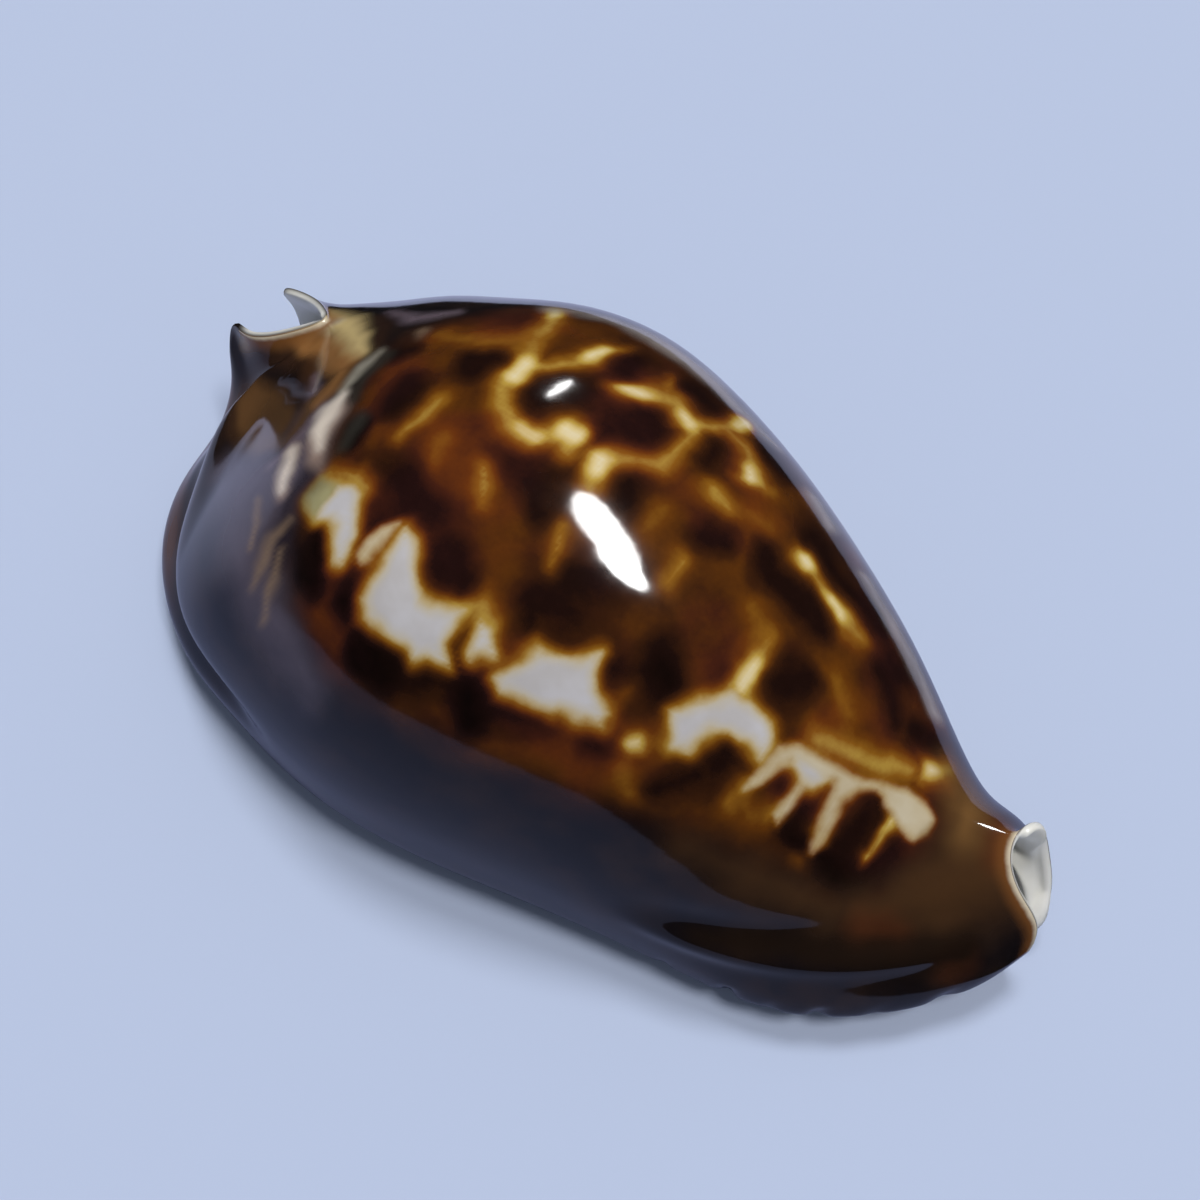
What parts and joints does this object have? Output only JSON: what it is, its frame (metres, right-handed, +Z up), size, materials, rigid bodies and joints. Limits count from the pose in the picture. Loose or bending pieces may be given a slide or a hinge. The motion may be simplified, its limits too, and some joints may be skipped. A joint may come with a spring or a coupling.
{
  "type": "cowrie shell",
  "caption": "Glossy domed sea-snail shell with a long toothed slit under it, a round canal at the beaked end and two short ears at the other.",
  "frame": {"origin": "on the surface the shell rests on, under the centre of its box", "axes": "+X to the beak, which is the front canal, with the two ears at -X; +Z up through the dome; -Y to the outer lip"},
  "size_m": [0.0736, 0.041, 0.0334],
  "materials": {
    "shell_glaze": "gloss"
  },
  "bodies": {
    "root": {"shell": "shell_glaze"}
  },
  "joints": []
}
